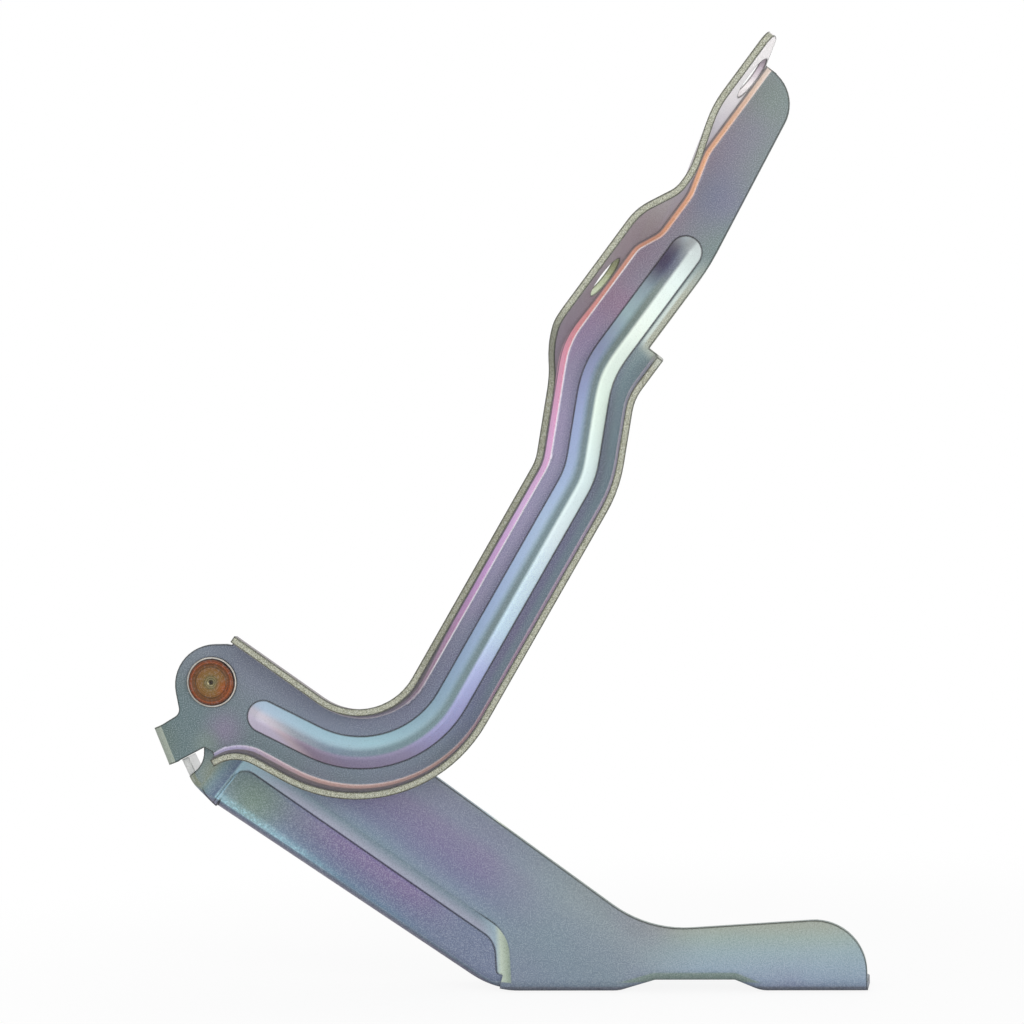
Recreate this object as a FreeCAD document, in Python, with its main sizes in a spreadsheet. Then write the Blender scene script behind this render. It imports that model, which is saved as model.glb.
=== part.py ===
import FreeCAD, Part
import math
import os
import Sketcher

# Bonnet hinge: a formed goose-neck arm swings on a rivet in the upper end of a
# bracket that bolts to the body. Millimetres and degrees. The origin lies midway
# between the two body bolt holes, on the underside of the bracket's foot; +Z is
# up, the bolt row runs along X and the leaves stand in the XZ plane.
#
# Both leaves are drawn round the pivot, with x to the bonnet end and z up.
# A straight edge is given by its heading and by its distance to the left of the
# pivot, seen along that heading.

DOC = FreeCAD.newDocument("bonnet_hinge")

SIZES = {
    # place of the pivot over the bolt row, and of the bracket's web
    "pivot_x": -168.0,
    "pivot_z": 111.5,
    "bracket_front_y": -15.0,
    "leaf_gap": 1.0,
    # sheet metal
    "sheet": 2.5,
    "bend_inside": 1.6,
    "root_overlap": 1.2,
    # arm: lines of the channel, headings and offsets
    "flange_lean": 6.0,
    "flange_height": 9.0,
    "channel_half_width": 10.4,
    "upper_heading": -35.8,
    "upper_offset": 14.85,
    "upper_start": -1.5,
    "lower_heading": -29.0,
    "lower_offset": -12.4,
    "neck_heading": 59.0,
    "neck_offset": -77.3,
    "kink_heading": 79.5,
    "kink_offset": -117.85,
    "bonnet_heading": 52.0,
    "bonnet_offset": -31.3,
    "bonnet_side_offset": -56.2,
    "elbow_inner_radius": 27.4,
    "elbow_outer_radius": 49.3,
    "knee_inner_radius": 20.0,
    "knee_outer_radius": 45.0,
    "shoulder_inner_radius": 28.0,
    "shoulder_outer_radius": 22.0,
    # arm: lower flange past the crest at the pivot
    "crest_radius": 18.0,
    "crest_end_x": -0.7,
    "crest_end_z": -24.9,
    "crest_end_heading": 30.0,
    # arm: eye round the pivot and stop tab
    "eye_radius": 14.5,
    "eye_side_heading": 99.6,
    "eye_side_offset": 13.65,
    "eye_top_heading": 0.0,
    "eye_top_offset": 13.3,
    "eye_top_end": 5.6,
    "tab_root_x": -11.9,
    "tab_root_z": -11.1,
    "tab_root_radius": 3.0,
    "tab_top_heading": 30.6,
    "tab_end_heading": 111.0,
    "tab_end_offset": 23.4,
    "tab_under_heading": 26.8,
    "tab_heel_x": -3.5,
    "tab_heel_z": -23.3,
    "lip_bend_inside": 0.4,
    "lip_reach": 12.0,
    # arm: bonnet end of the web
    "relief_x": 159.5,
    "relief_z": 113.5,
    "edge_offset": -53.9,
    "edge_knee_x": 179.2,
    "edge_knee_z": 141.9,
    "edge_knee_radius": 80.0,
    "lobe_x": 193.9,
    "lobe_z": 197.2,
    "lobe_radius": 14.1,
    "lobe_side_heading": 60.9,
    "lobe_top_heading": 139.0,
    # arm: joggle in the bonnet flange, stations along the flange
    "root_recess": 4.1,
    "root_in_heading": 27.0,
    "root_in": 212.9,
    "root_in_radius": 6.0,
    "root_floor_radius": 10.0,
    "root_out_heading": 67.0,
    "root_out": 254.1,
    "root_out_radius": 15.0,
    "tip_recess": 6.9,
    "tip_in_heading": 25.5,
    "tip_in": 223.5,
    "tip_in_radius": 14.0,
    "tip_floor_radius": 17.0,
    "tip_out_heading": 70.0,
    "tip_out": 269.5,
    "tip_out_radius": 30.0,
    "bonnet_end": 290.0,
    # arm: bonnet flange in its own plane
    "bonnet_height": 31.0,
    "wall_start": 101.5,
    "rise_start": 160.0,
    "rise_end": 179.0,
    "rise_radius": 10.0,
    "rise_run_in": 36.0,
    "bolt_depth": 15.5,
    "bolt_near": 199.2,
    "bolt_far": 283.7,
    "bolt_hole_diameter": 16.0,
    "tongue_side": 299.2,
    "tongue_side_rise": 22.0,
    "tongue_side_radius": 8.0,
    "tongue_end": 300.2,
    "tongue_end_radius": 4.3,
    # room that a cut takes beside the sheet, and cuts that run right through
    "cut_margin": 12.0,
    "cut_through": 60.0,
    "cut_upright": 450.0,
    # arm: bead pressed toward the outer side
    "bead_width": 11.4,
    "bead_height": 3.0,
    "bead_crest_half": 1.6,
    "bead_crest_radius": 3.9,
    "bead_heading": -27.0,
    "bead_offset": -2.9,
    "bead_start": 21.85,
    "bead_end": 221.9,
    "bead_end_offset": -44.2,
    "bead_elbow_radius": 38.3,
    "bead_knee_radius": 30.0,
    "bead_shoulder_radius": 35.0,
    # bracket: outline of the web
    "crown_heading": -32.3,
    "crown_offset": 12.7,
    "crest_heading": -36.6,
    "crest_offset": 19.0,
    "crest_blend_radius": 60.0,
    "foot_top_heading": 3.5,
    "foot_top_x": 187.7,
    "foot_top_z": -87.7,
    "waist_radius": 42.0,
    "foot_end_x": 229.3,
    "foot_end_radius": 18.0,
    "eye_left_x": -12.4,
    "eye_left_radius": 12.5,
    "eye_under_heading": 165.0,
    "eye_under_radius": 7.0,
    "eye_under_z": -12.5,
    "notch_x": -4.3,
    "notch_blend_radius": 3.0,
    # bracket: flange along the lower edge and the foot, outer face
    "foot_lift": 3.8,
    "slope_out_heading": 157.3,
    "landing_out": 191.9,
    "slope_in_heading": 196.4,
    "landing_in": 141.7,
    "joggle_radius": 7.0,
    "heel_radius": 26.0,
    "keel_heading": 145.9,
    "keel_offset": 38.1,
    "toe_heading": 134.3,
    "toe_x": -7.0,
    "toe_z": -39.4,
    "toe_radius": 14.0,
    "toe_end_heading": 114.4,
    "toe_end_x": -13.3,
    "toe_end_z": -28.4,
    "toe_end_radius": 9.0,
    "notch_heading": 37.8,
    "notch_foot_x": -9.8,
    "notch_foot_z": -33.7,
    "notch_knee_radius": 9.0,
    "toe_front": 4.4,
    "bracket_flange_width": 28.0,
    "bracket_toe_width": 15.0,
    "width_taper_x": 90.0,
    "width_taper_radius": 40.0,
    # bracket: recessed panel, foot line and rim line of its slope
    "panel_depth": 3.3,
    "panel_heading": -35.2,
    "panel_toe_heading": 50.0,
    "panel_heel_heading": -88.0,
    "panel_foot_offset": -20.1,
    "panel_foot_toe_x": 2.3,
    "panel_foot_toe_z": -38.2,
    "panel_foot_toe_radius": 6.0,
    "panel_foot_heel_x": 98.2,
    "panel_foot_heel_radius": 9.0,
    "panel_rim_offset": -14.4,
    "panel_rim_toe_x": -4.2,
    "panel_rim_toe_z": -34.6,
    "panel_rim_toe_radius": 9.0,
    "panel_rim_heel_x": 104.0,
    "panel_rim_heel_radius": 14.0,
    "panel_heel_z": -101.6,
    "panel_overrun": 12.0,
    "panel_back_spread": 0.7,
    "panel_back_inset": 1.0,
    "panel_bend_toe_x": 1.0,
    "panel_bend_heading": 165.0,
    # body bolt holes in the foot
    "bolt_spacing": 88.0,
    "body_bolt_hole_diameter": 9.0,
    "foot_corner_radius": 8.0,
    # pivot stack
    "shoulder_diameter": 11.0,
    "running_clearance": 0.05,
    "bush_wall": 1.1,
    "bush_flange_diameter": 18.6,
    "washer_diameter": 18.1,
    "washer_thickness": 0.6,
    "head_diameter": 16.4,
    "head_thickness": 1.5,
    "head_round": 0.6,
    "ring_radius": 5.6,
    "ring_width": 0.9,
    "ring_depth": 0.25,
    "dimple_radius": 1.5,
    "dimple_depth": 0.5,
    "tenon_diameter": 9.0,
    "tail_diameter": 14.0,
    "tail_thickness": 2.2,
    "tail_round": 1.0,
}

SHEET = DOC.addObject("Spreadsheet::Sheet", "Sizes")


def fill_sheet():
    for row, (name, value) in enumerate(SIZES.items(), start=1):
        cell = "B%d" % row
        SHEET.set("A%d" % row, name)
        SHEET.set(cell, repr(float(value)))
        SHEET.setAlias(cell, name)
    DOC.recompute()


class Term:
    """A number together with the sheet expression that gives it."""

    def __init__(self, value, text):
        self.value = float(value)
        self.text = text

    @staticmethod
    def of(item):
        if isinstance(item, Term):
            return item
        return Term(item, repr(float(item)))

    def join(self, other, sign, value):
        return Term(value, "(%s %s %s)" % (self.text, sign, Term.of(other).text))

    def __add__(self, other):
        return self.join(other, "+", self.value + Term.of(other).value)

    def __sub__(self, other):
        return self.join(other, "-", self.value - Term.of(other).value)

    def __mul__(self, other):
        return self.join(other, "*", self.value * Term.of(other).value)

    def __truediv__(self, other):
        return self.join(other, "/", self.value / Term.of(other).value)

    def __radd__(self, other):
        return Term.of(other) + self

    def __rsub__(self, other):
        return Term.of(other) - self

    def __rmul__(self, other):
        return Term.of(other) * self

    def __neg__(self):
        return Term(-self.value, "(-1 * %s)" % self.text)


def trig(name, function, angle):
    angle = Term.of(angle)
    return Term(function(math.radians(angle.value)), "%s(%s)" % (name, angle.text))


def cosine(angle):
    return trig("cos", math.cos, angle)


def sine(angle):
    return trig("sin", math.sin, angle)


def tangent(angle):
    return trig("tan", math.tan, angle)


def size(name):
    return Term(SIZES[name], "Sizes.%s" % name)


def point_on(line, along):
    """Point on a (heading, offset) line at a distance along its heading."""
    heading, offset = line
    return (
        along * cosine(heading) - offset * sine(heading),
        along * sine(heading) + offset * cosine(heading),
    )


def crossing(line_a, line_b):
    """Point where two (heading, offset) lines meet."""
    turn = line_a[0] - line_b[0]
    along = (line_b[1] - line_a[1] * cosine(turn)) / sine(turn)
    return point_on(line_a, along)


def line_through(heading, point):
    """The (heading, offset) line through a point."""
    return heading, point[1] * cosine(heading) - point[0] * sine(heading)


def shifted(line, distance):
    return line[0], line[1] + distance


def fix_point(sketch, geometry, end, place):
    """Hold one point of a sketch at a place counted from the sketch's origin."""
    for kind, part in zip(("DistanceX", "DistanceY"), place):
        index = sketch.addConstraint(Sketcher.Constraint(kind, -1, 1, geometry, end, part.value))
        sketch.setExpression("Constraints[%d]" % index, part.text)


def rounding(before, corner, after, radius):
    """Start, end and arc of a rounded corner; the arc runs anticlockwise."""
    back = (before - corner).normalize()
    ahead = (after - corner).normalize()
    half = back.getAngle(ahead) / 2
    reach = radius / math.tan(half)
    centre = corner + (back + ahead).normalize() * (radius / math.sin(half))
    start = corner + back * reach
    end = corner + ahead * reach
    left_turn = back.cross(ahead).z < 0
    first, last = (start, end) if left_turn else (end, start)
    angles = [math.atan2(p.y - centre.y, p.x - centre.x) for p in (first, last)]
    circle = Part.Circle(centre, FreeCAD.Vector(0, 0, 1), radius)
    return start, end, Part.ArcOfCircle(circle, *angles), left_turn


def draw(sketch, corners, closed=True):
    """Straight edges through (x, y) corners; (x, y, radius) rounds the corner."""
    count = len(corners)
    spots = [FreeCAD.Vector(c[0].value, c[1].value, 0) for c in corners]
    rounded = [len(c) > 2 for c in corners]
    starts, ends, arcs = list(spots), list(spots), {}
    for i, corner in enumerate(corners):
        if rounded[i]:
            start, end, arc, left_turn = rounding(
                spots[i - 1], spots[i], spots[(i + 1) % count], corner[2].value
            )
            starts[i], ends[i], arcs[i] = start, end, (arc, left_turn)
    last = count if closed else count - 1
    lines = [
        sketch.addGeometry(Part.LineSegment(ends[i], starts[(i + 1) % count]), False)
        for i in range(last)
    ]
    for i, corner in enumerate(corners):
        into = lines[i - 1] if closed or i > 0 else None
        out = lines[i] if i < last else None
        if not rounded[i]:
            if into is not None and out is not None:
                sketch.addConstraint(Sketcher.Constraint("Coincident", into, 2, out, 1))
            fix_point(sketch, *((out, 1) if out is not None else (into, 2)), corner[:2])
            continue
        arc, left_turn = arcs[i]
        bend = sketch.addGeometry(arc, False)
        mark = sketch.addGeometry(Part.Point(spots[i]), True)
        first, second = (1, 2) if left_turn else (2, 1)
        sketch.addConstraint(Sketcher.Constraint("Tangent", into, 2, bend, first))
        sketch.addConstraint(Sketcher.Constraint("Tangent", bend, second, out, 1))
        sketch.addConstraint(Sketcher.Constraint("PointOnObject", mark, 1, into))
        sketch.addConstraint(Sketcher.Constraint("PointOnObject", mark, 1, out))
        fix_point(sketch, mark, 1, corner[:2])
        index = sketch.addConstraint(Sketcher.Constraint("Radius", bend, corner[2].value))
        sketch.setExpression("Constraints[%d]" % index, corner[2].text)


def draw_circle(sketch, centre, radius):
    spot = FreeCAD.Vector(centre[0].value, centre[1].value, 0)
    ring = sketch.addGeometry(Part.Circle(spot, FreeCAD.Vector(0, 0, 1), radius.value), False)
    fix_point(sketch, ring, 3, centre)
    index = sketch.addConstraint(Sketcher.Constraint("Radius", ring, radius.value))
    sketch.setExpression("Constraints[%d]" % index, radius.text)


def leaf_sketch(body, name, toward_viewer=None):
    """Sketch in the plane of a leaf: x to the bonnet end, y up, normal along -Y."""
    plane = [f for f in body.Origin.OriginFeatures if f.Role == "XZ_Plane"][0]
    sketch = body.newObject("Sketcher::SketchObject", name)
    sketch.AttachmentSupport = [(plane, "")]
    sketch.MapMode = "FlatFace"
    if toward_viewer is not None:
        sketch.setExpression("AttachmentOffset.Base.z", toward_viewer.text)
    return sketch


def section_sketch(body, name, place, heading):
    """Sketch across a path: x to the left of the heading, y along -Y."""
    sketch = leaf_sketch(body, name)
    turn = "rotation(vector(0; 0; 1); %s) * %s" % (heading.text, NEXT_AXES)
    base = "vector(%s; %s; 0)" % (place[0].text, place[1].text)
    sketch.setExpression("AttachmentOffset", "placement(%s; %s)" % (base, turn))
    return sketch


def feature(body, kind, name, profile, **settings):
    item = body.newObject("PartDesign::" + kind, name)
    item.Profile = profile
    for key, value in settings.items():
        if isinstance(value, Term):
            item.setExpression(key, value.text)
        else:
            setattr(item, key, value)
    profile.Visibility = False
    return item


def sweep(body, kind, name, profile, path):
    item = feature(body, kind, name, profile)
    item.Spine = (path, ["Edge%d" % (i + 1) for i in range(len(path.Shape.Edges))])
    item.Mode = "Standard"
    item.Transition = "Transformed"
    path.Visibility = False
    return item


def new_body(name, y):
    body = DOC.addObject("PartDesign::Body", name)
    body.Label = name
    body.setExpression("Placement.Base.x", "Sizes.pivot_x")
    body.setExpression("Placement.Base.y", y.text)
    body.setExpression("Placement.Base.z", "Sizes.pivot_z")
    return body


fill_sheet()

ZERO = Term(0, "0")
QUARTER_TURN = Term(90, "90")
HALF_TURN = Term(180, "180")
# a third of a turn about the diagonal: x goes to y, y to z and z to x
NEXT_AXES = "rotation(vector(1; 1; 1); 120)"
SHEET_T = size("sheet")
BEND = size("bend_inside")
UPPER = (size("upper_heading"), size("upper_offset"))
LOWER = (size("lower_heading"), size("lower_offset"))
NECK = (size("neck_heading"), size("neck_offset"))
KINK = (size("kink_heading"), size("kink_offset"))
BONNET = (size("bonnet_heading"), size("bonnet_offset"))
BONNET_SIDE = (size("bonnet_heading"), size("bonnet_side_offset"))
HALF = size("channel_half_width")
ARM_FRONT = size("bracket_front_y") - size("leaf_gap") - SHEET_T
SHOULDER = size("shoulder_diameter") / 2


def root_reach(radius):
    """How far the bend of a leaning flange reaches past its bend line."""
    return radius * tangent((QUARTER_TURN - size("flange_lean")) / 2)


def wall_in(height):
    """Distance of a leaning flange's inner face from its bend line."""
    return root_reach(BEND) + height * tangent(size("flange_lean"))


def wall_out(height):
    """Distance of a leaning flange's outer face from its bend line."""
    return root_reach(BEND + SHEET_T) + (height + SHEET_T) * tangent(size("flange_lean"))


def recess_corners(level, shift):
    """The joggle of the bonnet flange at its root or tip, shifted outward."""
    def named(word):
        return size("%s_%s" % (level, word))

    main = shifted(BONNET, shift)
    floor = shifted(main, -named("recess"))
    into = line_through(named("in_heading"), point_on(BONNET, named("in")))
    out = line_through(named("out_heading"), point_on(BONNET, named("out")))
    into = shifted(into, shift)
    out = shifted(out, shift)
    return [
        (*crossing(main, into), named("in_radius") + shift),
        (*crossing(into, floor), named("floor_radius") - shift),
        (*crossing(floor, out), named("out_radius") - shift),
        (*crossing(out, main), named("out_radius") + shift),
    ]


def station(line, point):
    """Distance of a point along a line's heading."""
    return point[0] * cosine(line[0]) + point[1] * sine(line[0])


def relief_station():
    """Where the lower flange ends, below the bonnet end of the web."""
    return station(BONNET, (size("relief_x"), size("relief_z")))


def left_path():
    """Bend line of the upper flange, from the eye to the tongue."""
    neck = shifted(NECK, HALF)
    kink = shifted(KINK, HALF)
    return [
        point_on(UPPER, size("upper_start")),
        (*crossing(UPPER, neck), size("elbow_inner_radius")),
        (*crossing(neck, kink), size("knee_inner_radius")),
        (*crossing(kink, BONNET), size("shoulder_inner_radius")),
        *recess_corners("root", ZERO),
        point_on(BONNET, size("bonnet_end")),
    ]


def right_path():
    """Bend line of the lower flange, from the relief down to the eye."""
    neck = shifted(NECK, -HALF)
    kink = shifted(KINK, -HALF)
    end = (size("crest_end_x"), size("crest_end_z"))
    down = line_through(size("crest_end_heading"), end)
    return [
        point_on(BONNET_SIDE, relief_station()),
        (*crossing(BONNET_SIDE, kink), size("shoulder_outer_radius")),
        (*crossing(kink, neck), size("knee_outer_radius")),
        (*crossing(neck, LOWER), size("elbow_outer_radius")),
        (*crossing(LOWER, down), size("crest_radius")),
        end,
    ]


def flange_profile(sketch, height):
    """Section of a leaning flange with its bend, from the web outward."""
    draw(sketch, [
        (-size("root_overlap"), ZERO),
        (root_reach(BEND), ZERO, BEND),
        (wall_in(height), height),
        (wall_out(height), height),
        (root_reach(BEND + SHEET_T), -SHEET_T, BEND + SHEET_T),
        (-size("root_overlap"), -SHEET_T),
    ])


def back_flange_profile(sketch, inside, depth):
    """Section of a flange bent square toward the rear, from the web outward."""
    outside = inside + SHEET_T
    draw(sketch, [
        (-size("root_overlap"), ZERO),
        (outside, ZERO, outside),
        (outside, -depth),
        (inside, -depth),
        (inside, -SHEET_T, inside),
        (-size("root_overlap"), -SHEET_T),
    ])


def tab_corners():
    heel = (size("tab_heel_x"), size("tab_heel_z"))
    root = (size("tab_root_x"), size("tab_root_z"))
    end = (size("tab_end_heading"), size("tab_end_offset"))
    foot = crossing(end, line_through(size("tab_under_heading"), heel))
    top = crossing(end, line_through(size("tab_top_heading"), root))
    return heel, foot, top, root


def arm_web(body):
    eye_side = (size("eye_side_heading"), size("eye_side_offset"))
    eye_top = (size("eye_top_heading"), size("eye_top_offset"))
    radius = size("lobe_radius")
    lobe = (size("lobe_x"), size("lobe_z"))
    side = shifted(line_through(size("lobe_side_heading"), lobe), -radius)
    lobe_top = shifted(line_through(size("lobe_top_heading"), lobe), -radius)
    edge = (size("bonnet_heading"), size("edge_offset"))
    heel, foot, top, root = tab_corners()
    sketch = leaf_sketch(body, "ArmOutline")
    draw(sketch, left_path() + [
        (*crossing(lobe_top, side), radius),
        (*crossing(side, edge), size("edge_knee_radius")),
        point_on(edge, relief_station()),
    ] + right_path() + [
        heel,
        foot,
        top,
        (*root, size("tab_root_radius")),
        (*crossing(eye_side, eye_top), size("eye_radius")),
        point_on(eye_top, size("eye_top_end")),
    ])
    feature(body, "Pad", "ArmWeb", sketch, Length=SHEET_T, Reversed=True)


def arm_flanges(body):
    for name, corners, heading in (
        ("Upper", left_path(), UPPER[0]),
        ("Lower", right_path(), BONNET[0] + HALF_TURN),
    ):
        path = leaf_sketch(body, name + "Path")
        draw(path, corners, closed=False)
        profile = section_sketch(body, name + "Profile", corners[0], heading)
        flange_profile(profile, size("flange_height"))
        DOC.recompute()
        sweep(body, "AdditivePipe", name + "Flange", profile, path)


def wall_band(sketch, level, height):
    """Section of the high bonnet wall, parallel to the web."""
    kink = shifted(KINK, HALF)
    sides = []
    for shift in (wall_in(height), wall_out(height)):
        main = shifted(BONNET, shift)
        side = shifted(kink, shift)
        sides.append([
            point_on(side, size("wall_start")),
            (*crossing(side, main), size("shoulder_inner_radius") + shift),
            *recess_corners(level, shift),
            point_on(main, size("tongue_end") + BEND),
        ])
    draw(sketch, sides[0] + sides[1][::-1])


def side_sketch(body, name, lean):
    """Sketch facing the bonnet pads: x along the flange, y out from the web."""
    sketch = leaf_sketch(body, name)
    place = point_on(BONNET, ZERO)
    turn = "rotation(vector(0; 0; 1); %s) * rotation(vector(1; 0; 0); %s)" % (
        BONNET[0].text, (QUARTER_TURN - lean).text)
    base = "vector(%s; %s; 0)" % (place[0].text, place[1].text)
    sketch.setExpression("AttachmentOffset", "placement(%s; %s)" % (base, turn))
    return sketch


def bonnet_wall(body):
    """The high part of the upper flange, which takes the bonnet's bolts."""
    low = leaf_sketch(body, "WallFoot", size("flange_height"))
    wall_band(low, "root", size("flange_height"))
    high = leaf_sketch(body, "WallTip", size("bonnet_height"))
    wall_band(high, "tip", size("bonnet_height"))
    DOC.recompute()
    feature(body, "AdditiveLoft", "BonnetWall", low, Sections=[high], Ruled=True)
    high.Visibility = False
    DOC.recompute()


def bonnet_rise(body):
    """Cuts the wall away below the slope that rises to its full height."""
    margin = size("cut_margin")
    top = size("bonnet_height")
    foot = size("flange_height")
    before = size("rise_start") - size("rise_run_in")
    after = size("rise_end") + margin
    sketch = side_sketch(body, "RiseOutline", ZERO)
    draw(sketch, [
        (before, foot),
        (size("rise_start"), foot, size("rise_radius")),
        (size("rise_end"), top, size("rise_radius")),
        (after, top),
        (after, top + margin),
        (before, top + margin),
    ])
    feature(body, "Pocket", "Rise", sketch, Length=size("cut_through"), SideType="Symmetric")


def bonnet_tongue(body):
    """Trims the far end of the wall to its tongue."""
    margin = size("cut_margin")
    top = size("bonnet_height")
    foot = size("flange_height")
    far = size("tongue_end") + margin
    sketch = side_sketch(body, "TongueOutline", ZERO)
    draw(sketch, [
        (size("bonnet_end"), foot),
        (size("tongue_side"), size("tongue_side_rise"), size("tongue_side_radius")),
        (size("tongue_end"), top, size("tongue_end_radius")),
        (size("bolt_far"), top),
        (size("bolt_far"), top + margin),
        (far, top + margin),
        (far, foot),
    ])
    feature(body, "Pocket", "Tongue", sketch, Length=size("cut_through"), SideType="Symmetric")


def bonnet_holes(body):
    sketch = side_sketch(body, "BonnetHoles", size("flange_lean"))
    for along in ("bolt_near", "bolt_far"):
        draw_circle(sketch, (size(along), size("bolt_depth")), size("bolt_hole_diameter") / 2)
    feature(body, "Pocket", "BonnetBolts", sketch, Length=size("cut_margin") * 2,
            SideType="Symmetric")


def bead_path():
    start_line = (size("bead_heading"), size("bead_offset"))
    end_line = (size("bonnet_heading"), size("bead_end_offset"))
    return [
        point_on(start_line, size("bead_start")),
        (*crossing(start_line, NECK), size("bead_elbow_radius")),
        (*crossing(NECK, KINK), size("bead_knee_radius")),
        (*crossing(KINK, end_line), size("bead_shoulder_radius")),
        point_on(end_line, size("bead_end")),
    ]


def bead_profile(sketch, depth, half):
    """Section of the bead, whole or from its middle; depth counts rearward."""
    wide = size("bead_width") / 2
    crest = size("bead_crest_half")
    top = size("bead_height") - depth
    foot = -depth
    below = foot - size("root_overlap")
    right = [(crest, top, size("bead_crest_radius")), (wide, foot), (wide, below)]
    if half:
        left = [(ZERO, below), (ZERO, top)]
    else:
        left = [(-wide, below), (-wide, foot), (-crest, top, size("bead_crest_radius"))]
    draw(sketch, right + left)


def bead(body):
    corners = bead_path()
    for name, depth, pipe, turn in (
        ("Ridge", ZERO, "AdditivePipe", "Revolution"),
        ("Hollow", SHEET_T, "SubtractivePipe", "Groove"),
    ):
        path = leaf_sketch(body, name + "Path")
        draw(path, corners, closed=False)
        profile = section_sketch(body, name + "Profile", corners[0], size("bead_heading"))
        bead_profile(profile, depth, half=False)
        DOC.recompute()
        sweep(body, pipe, name, profile, path)
        DOC.recompute()
        for end, place, heading, reverse in (
            ("Start", corners[0], size("bead_heading"), False),
            ("End", corners[-1], size("bonnet_heading"), True),
        ):
            dome = section_sketch(body, name + end + "Profile", place, heading)
            bead_profile(dome, depth, half=True)
            DOC.recompute()
            item = body.newObject("PartDesign::" + turn, name + end)
            item.Profile = dome
            item.ReferenceAxis = (dome, ["V_Axis"])
            item.Angle = HALF_TURN.value
            item.Reversed = reverse
            dome.Visibility = False
            DOC.recompute()


def stop_tab(body):
    heel, foot, top, root = tab_corners()
    section = section_sketch(body, "LipProfile", foot, size("tab_end_heading"))
    back_flange_profile(section, size("lip_bend_inside"), size("lip_reach"))
    end = (size("tab_end_heading"), ZERO)
    length = station(end, top) - station(end, foot)
    feature(body, "Pad", "StopLip", section, Length=length)


def round_cut(body, name, radius):
    sketch = leaf_sketch(body, name + "Circle")
    draw_circle(sketch, (ZERO, ZERO), radius)
    feature(body, "Pocket", name, sketch, Length=size("cut_margin"), SideType="Symmetric")


def build_arm():
    body = new_body("bonnet_arm", ARM_FRONT)
    for step in (arm_web, arm_flanges, bonnet_wall, bonnet_rise, bonnet_tongue,
                 bonnet_holes, bead, stop_tab):
        step(body)
        DOC.recompute()
    round_cut(body, "EyeBore", SHOULDER + size("running_clearance") + size("bush_wall"))
    return body


def bracket_lines():
    """Lines of the bracket's flange on its outer face, from foot to toe."""
    land = (HALF_TURN, size("pivot_z"))
    lift = shifted(land, -size("foot_lift"))
    ground = -size("pivot_z")
    return {
        "land": land,
        "slope_out": line_through(size("slope_out_heading"), (size("landing_out"), ground)),
        "lift": lift,
        "slope_in": line_through(size("slope_in_heading"), (size("landing_in"), ground)),
        "keel": (size("keel_heading"), size("keel_offset")),
        "toe": line_through(size("toe_heading"), (size("toe_x"), size("toe_z"))),
        "toe_end": line_through(size("toe_end_heading"), (size("toe_end_x"), size("toe_end_z"))),
    }


def root_lines(inset):
    return {name: shifted(line, -inset) for name, line in bracket_lines().items()}


def lower_corners(lines):
    """Bend line of the bracket's flange along the foot and the lower edge."""
    fold = size("joggle_radius")
    return [
        point_on(lines["land"], -size("foot_end_x")),
        (*crossing(lines["land"], lines["slope_out"]), fold),
        (*crossing(lines["slope_out"], lines["lift"]), fold),
        (*crossing(lines["lift"], lines["slope_in"]), fold),
        (*crossing(lines["slope_in"], lines["land"]), fold),
        (*crossing(lines["land"], lines["keel"]), size("heel_radius")),
    ]


def upright(x):
    return line_through(QUARTER_TURN, (x, ZERO))


def notch_edge():
    """Lower edge of the notch that the stop tab passes."""
    foot = (size("notch_foot_x"), size("notch_foot_z"))
    return line_through(size("notch_heading"), foot)


def bracket_web(body):
    lines = root_lines(BEND + SHEET_T)
    edge = notch_edge()
    under = line_through(size("eye_under_heading"), (size("notch_x"), size("eye_under_z")))
    left = upright(size("eye_left_x"))
    crown = (size("crown_heading"), size("crown_offset"))
    crest = (size("crest_heading"), size("crest_offset"))
    foot_top = line_through(
        size("foot_top_heading"), (size("foot_top_x"), size("foot_top_z")))
    end = upright(size("foot_end_x"))
    sketch = leaf_sketch(body, "BracketOutline")
    draw(sketch, lower_corners(lines) + [
        (*crossing(lines["keel"], lines["toe"]), size("toe_radius")),
        crossing(lines["toe"], edge),
        (*crossing(edge, upright(size("notch_x"))), size("notch_knee_radius")),
        (size("notch_x"), size("eye_under_z"), size("notch_blend_radius")),
        (*crossing(under, left), size("eye_under_radius")),
        (*crossing(left, crown), size("eye_left_radius")),
        (*crossing(crown, crest), size("crest_blend_radius")),
        (*crossing(crest, foot_top), size("waist_radius")),
        (*crossing(foot_top, end), size("foot_end_radius")),
    ])
    feature(body, "Pad", "BracketWeb", sketch, Length=SHEET_T, Reversed=True)


def bracket_flange(body):
    lines = root_lines(BEND + SHEET_T)
    end = lines["toe_end"]
    corners = lower_corners(lines) + [
        (*crossing(lines["keel"], lines["toe"]), size("toe_radius")),
        (*crossing(lines["toe"], end), size("toe_end_radius")),
        point_on(end, station(end, (size("toe_end_x"), size("toe_end_z")))),
    ]
    path = leaf_sketch(body, "BracketPath")
    draw(path, corners, closed=False)
    profile = section_sketch(body, "BracketProfile", corners[0], HALF_TURN)
    back_flange_profile(profile, BEND, size("bracket_flange_width"))
    DOC.recompute()
    sweep(body, "AdditivePipe", "BracketFlange", profile, path)


def panel_corners(kind, spread):
    """Corners of the recessed panel; kind names its foot line or its rim line."""
    def named(word):
        return size("panel_%s_%s" % (kind, word))

    toe = line_through(size("panel_toe_heading"), (named("toe_x"), named("toe_z")))
    heel_place = (named("heel_x"), size("panel_heel_z"))
    heel = line_through(size("panel_heel_heading"), heel_place)
    toe = shifted(toe, spread)
    heel = shifted(heel, spread)
    long_line = shifted((size("panel_heading"), named("offset")), spread)
    return toe, heel, [
        (*crossing(toe, long_line), named("toe_radius") + spread),
        (*crossing(long_line, heel), named("heel_radius") + spread),
    ]


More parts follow.
